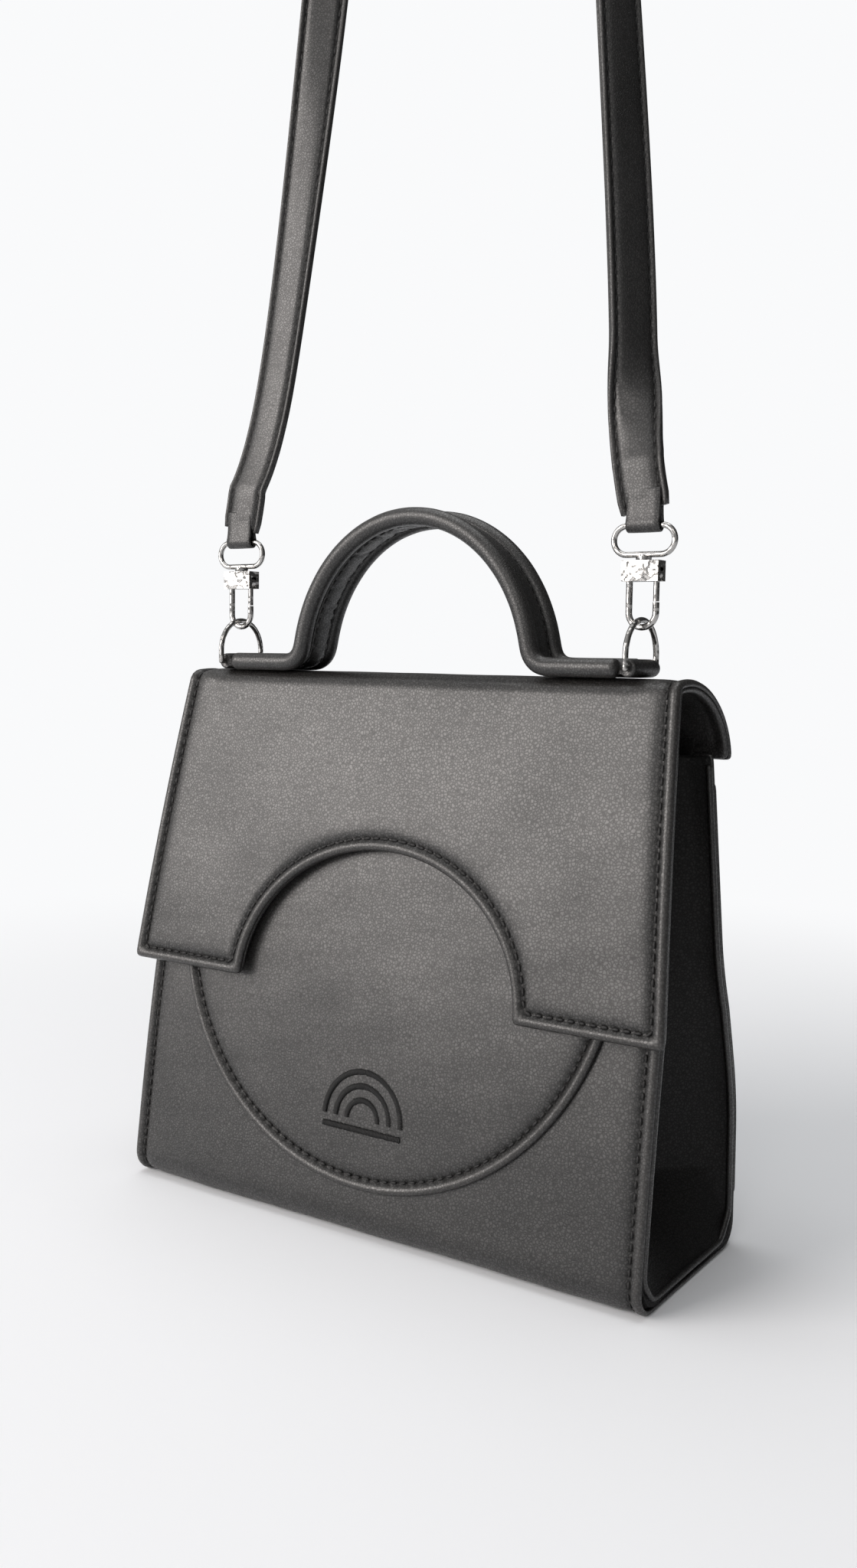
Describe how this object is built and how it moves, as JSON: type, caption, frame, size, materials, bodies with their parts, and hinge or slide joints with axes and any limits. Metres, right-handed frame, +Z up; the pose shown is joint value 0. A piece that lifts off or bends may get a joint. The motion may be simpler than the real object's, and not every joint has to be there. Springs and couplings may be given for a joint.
{
  "type": "handbag",
  "caption": "Trapeze top-handle handbag with an arched front flap, round front pocket and a shoulder strap on swivel clips.",
  "frame": {"origin": "middle of the base, where the bag stands", "axes": "+X to the viewer's right along the width, -Y to the front, +Z up"},
  "size_m": [0.23, 0.0795, 0.743],
  "materials": {
    "leather": "satin pebble grain",
    "leather_inner": "satin pebble grain",
    "motif_thread": "matte thread",
    "lining": "matte twill",
    "board": "matte card",
    "cord_core": "matte cord",
    "nickel": "polished nickel",
    "steel": "satin steel",
    "magnet": "satin plated"
  },
  "bodies": {
    "bag": {"body_wrap": "leather", "front_board": "board", "base_board": "board", "back_board": "board", "lining_wrap": "lining", "gusset_left": "leather_inner", "gusset_right": "leather_inner", "divider": "lining", "round_patch": "leather", "patch_motif": "motif_thread", "back_pocket": "leather", "panel_magnets": "magnet"},
    "top": {"crown": "leather", "crown_board": "board", "crown_lining": "leather_inner", "handle_cover": "leather", "handle_under": "leather_inner", "handle_core_front": "cord_core", "handle_core_back": "cord_core", "ring_loop_left": "leather", "ring_loop_right": "leather"},
    "front_flap": {"flap": "leather", "flap_board": "board", "flap_lining": "leather_inner", "flap_magnets": "magnet"},
    "ring_left": {"d_ring_left": "nickel"},
    "ring_right": {"d_ring_right": "nickel"},
    "eyes": {"swivel_left": "nickel", "swivel_right": "nickel"},
    "clip_left": {"hook_left": "nickel", "gate_pin_left": "steel", "gate_spring_left": "steel"},
    "clip_right": {"hook_right": "nickel", "gate_pin_right": "steel", "gate_spring_right": "steel"},
    "gate_left": {"gate_left": "nickel"},
    "gate_right": {"gate_right": "nickel"},
    "strap": {"strap_face": "leather", "strap_back": "leather_inner", "strap_tab_left": "leather", "strap_tab_right": "leather"}
  },
  "joints": [
    {"name": "crown_lift", "type": "hinge", "parent": "bag", "child": "top", "pos_m": [0, 0.02925, 0.176], "axis": [-1, 0, 0], "range_deg": [0, 75]},
    {"name": "flap_lift", "type": "hinge", "parent": "top", "child": "front_flap", "pos_m": [0, -0.00955, 0.1998], "axis": [-1, 0, 0], "range_deg": [0, 78]},
    {"name": "ring_tilt_left", "type": "hinge", "parent": "top", "child": "ring_left", "pos_m": [-0.088, -0.0015, 0.20585], "axis": [0, 1, 0], "range_deg": [-15, 15]},
    {"name": "ring_tilt_right", "type": "hinge", "parent": "top", "child": "ring_right", "pos_m": [0.088, -0.0015, 0.20585], "axis": [0, 1, 0], "range_deg": [-15, 15]},
    {"name": "eye_sway", "type": "hinge", "parent": "ring_left", "child": "eyes", "pos_m": [-0.088, -0.0015, 0.2219], "axis": [0, 1, 0], "range_deg": [-15, 15]},
    {"name": "clip_swivel_left", "type": "hinge", "parent": "eyes", "child": "clip_left", "pos_m": [-0.088, -0.0015, 0.2406], "axis": [0, 0, 1], "range_deg": [-30, 30]},
    {"name": "gate_swing_left", "type": "hinge", "parent": "clip_left", "child": "gate_left", "pos_m": [-0.0831, -0.0015, 0.237], "axis": [0, 1, 0], "range_deg": [0, 20], "stiffness_Nm_per_rad": 0.002},
    {"name": "clip_swivel_right", "type": "hinge", "parent": "eyes", "child": "clip_right", "pos_m": [0.088, -0.0015, 0.2406], "axis": [0, 0, 1], "range_deg": [-30, 30]},
    {"name": "gate_swing_right", "type": "hinge", "parent": "clip_right", "child": "gate_right", "pos_m": [0.0929, -0.0015, 0.237], "axis": [0, 1, 0], "range_deg": [0, 20], "stiffness_Nm_per_rad": 0.002},
    {"name": "strap_swing", "type": "hinge", "parent": "eyes", "child": "strap", "pos_m": [0, -0.0015, 0.2529], "axis": [1, 0, 0], "range_deg": [-85, 85]}
  ],
  "couplings": [
    {"joint": "ring_tilt_right", "follows": "ring_tilt_left", "ratio": 1},
    {"joint": "eye_sway", "follows": "ring_tilt_left", "ratio": -1}
  ]
}
